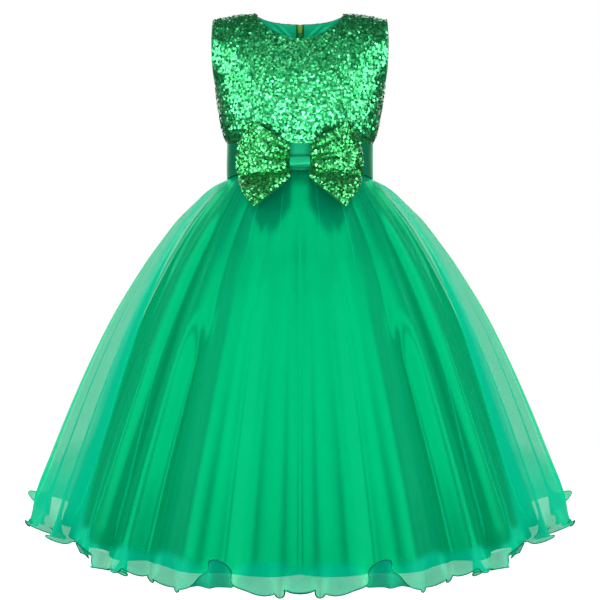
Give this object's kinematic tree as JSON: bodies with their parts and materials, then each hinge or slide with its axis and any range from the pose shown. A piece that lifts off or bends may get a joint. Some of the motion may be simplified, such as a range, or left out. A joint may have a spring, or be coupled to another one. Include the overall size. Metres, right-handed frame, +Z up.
{
  "type": "princess dress",
  "caption": "Girl's sleeveless princess dress, worn form: sequinned bodice, satin waistband and bow, full satin skirt under ruffled organza.",
  "frame": {"origin": "midway between the two shoulder seams, level with the points where they meet the neckline, where a wearer's shoulders hold the dress", "axes": "+Z up, -Y out of the front of the dress, +X to the right in the front view, which is the wearer's left"},
  "size_m": [0.8602, 0.8343, 0.7565],
  "materials": {
    "sequin_cloth": "overlapping metallic green sequins on a net",
    "lining_satin": "smooth satin",
    "band_satin": "smooth satin with a soft sheen",
    "skirt_satin": "smooth satin with a soft sheen",
    "organza": "crisp sheer organza with a rolled hem",
    "zip_coil": "moulded nylon coil",
    "zip_metal": "gloss enamel"
  },
  "bodies": {
    "dress": {"bodice_front": "sequin_cloth", "bodice_back_left": "sequin_cloth", "bodice_back_right": "sequin_cloth", "lining_front": "lining_satin", "lining_back_left": "lining_satin", "lining_back_right": "lining_satin", "waistband_front": "band_satin", "waistband_back_left": "band_satin", "waistband_back_right": "band_satin", "bow_wing_left": "sequin_cloth", "bow_wing_right": "sequin_cloth", "bow_knot": "band_satin", "underskirt_front": "skirt_satin", "underskirt_back_left": "skirt_satin", "underskirt_back_right": "skirt_satin", "overskirt_front": "organza", "overskirt_back_left": "organza", "overskirt_back_right": "organza", "zip_chain_left": "zip_coil", "zip_chain_right": "zip_coil", "zip_slider": "zip_metal"},
    "pull_tab": {"zip_pull": "zip_metal"}
  },
  "joints": [
    {"name": "pull_swing", "type": "hinge", "parent": "dress", "child": "pull_tab", "pos_m": [0, 0.04967, -0.00527], "axis": [1, 0, 0], "range_deg": [0, 150]}
  ]
}
